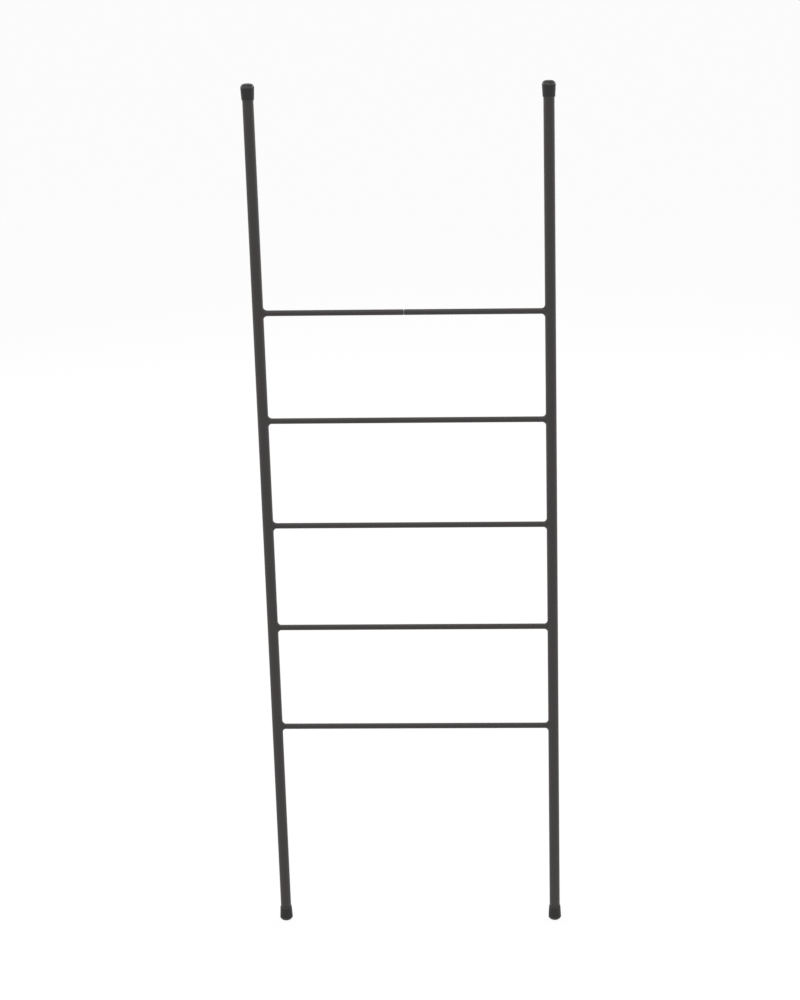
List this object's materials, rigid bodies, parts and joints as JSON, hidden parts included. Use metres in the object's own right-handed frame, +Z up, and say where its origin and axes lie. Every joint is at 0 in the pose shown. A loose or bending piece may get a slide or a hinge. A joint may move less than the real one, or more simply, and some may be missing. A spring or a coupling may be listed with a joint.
{
  "type": "blanket ladder",
  "caption": "Tall leaning ladder of round steel tube, with thin round rungs welded between its uprights and flared push-on end caps, for hanging blankets and throws.",
  "frame": {"origin": "on the floor, midway between the two foot caps, at the bottom centre of the ladder's box", "axes": "+Z up along the stiles, which stand upright in the frame; +X from the left stile to the right one; +Y from the front to the back, towards the wall that the ladder leans on"},
  "size_m": [0.5046, 0.0226, 1.5],
  "materials": {
    "coated_tube": "satin charcoal-black powder coat with a fine texture",
    "coated_bar": "satin charcoal-black powder coat with a fine texture",
    "coated_weld": "rippled weld bead under the same powder coat",
    "cap_rubber": "matt moulded black rubber"
  },
  "bodies": {
    "root": {"left_stile": "coated_tube", "right_stile": "coated_tube", "rung_1": "coated_bar", "rung_2": "coated_bar", "rung_3": "coated_bar", "rung_4": "coated_bar", "rung_5": "coated_bar", "weld_left_1": "coated_weld", "weld_left_2": "coated_weld", "weld_left_3": "coated_weld", "weld_left_4": "coated_weld", "weld_left_5": "coated_weld", "weld_right_1": "coated_weld", "weld_right_2": "coated_weld", "weld_right_3": "coated_weld", "weld_right_4": "coated_weld", "weld_right_5": "coated_weld", "top_cap_left": "cap_rubber", "top_cap_right": "cap_rubber", "foot_cap_left": "cap_rubber", "foot_cap_right": "cap_rubber"}
  },
  "joints": []
}
